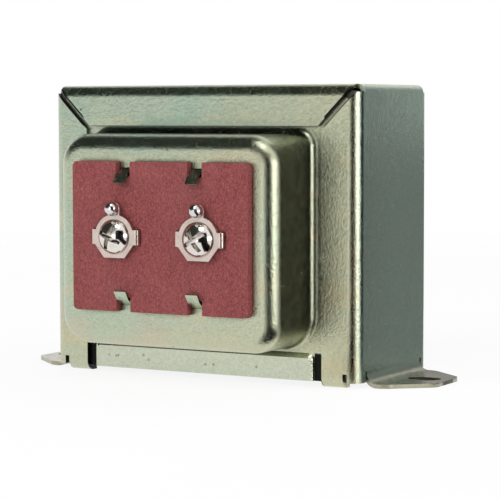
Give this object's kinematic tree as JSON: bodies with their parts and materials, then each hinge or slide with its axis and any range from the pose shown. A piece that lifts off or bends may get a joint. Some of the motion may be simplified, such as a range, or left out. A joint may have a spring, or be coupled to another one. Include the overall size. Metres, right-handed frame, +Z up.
{
  "type": "doorbell transformer",
  "caption": "Low voltage doorbell transformer in a folded steel strap with mounting feet, a drawn cover and a fibre terminal board with two screw terminals.",
  "frame": {"origin": "midway between the two mounting slots, on the plane that the feet stand on", "axes": "+Z up from the mounting surface, +X to the right of someone who faces the terminals, -Y out of the terminal side"},
  "size_m": [0.0914, 0.0765, 0.0574],
  "materials": {
    "strap_plating": "yellow-green passivated zinc",
    "cover_plating": "yellow-green passivated zinc",
    "core_steel": "varnished laminations",
    "bobbin_nylon": "natural nylon",
    "enamelled_wire": "enamelled copper",
    "coil_tape": "polyester tape",
    "fish_paper": "pressed insulating card",
    "red_fibre": "matt vulcanised fibre",
    "terminal_plating": "tinned",
    "screw_nickel": "bright nickel",
    "solder": "bright solder",
    "hub_zinc": "zinc plated",
    "bushing_black": "black nylon"
  },
  "bodies": {
    "root": {"outer_strap": "strap_plating", "front_cover": "cover_plating", "rear_cover": "cover_plating", "core_e_stack": "core_steel", "core_i_stack": "core_steel", "bobbin": "bobbin_nylon", "primary_winding": "enamelled_wire", "secondary_winding": "enamelled_wire", "primary_wrap": "coil_tape", "secondary_wrap": "coil_tape", "front_card": "fish_paper", "rear_card": "fish_paper", "terminal_board": "red_fibre", "terminal_left": "terminal_plating", "terminal_right": "terminal_plating", "terminal_screw_left": "screw_nickel", "terminal_screw_right": "screw_nickel", "solder_joint_left": "solder", "solder_joint_right": "solder", "secondary_lead_left": "enamelled_wire", "secondary_lead_right": "enamelled_wire", "hub_nipple": "hub_zinc", "hub_locknut": "hub_zinc", "lead_bushing": "bushing_black"}
  },
  "joints": []
}
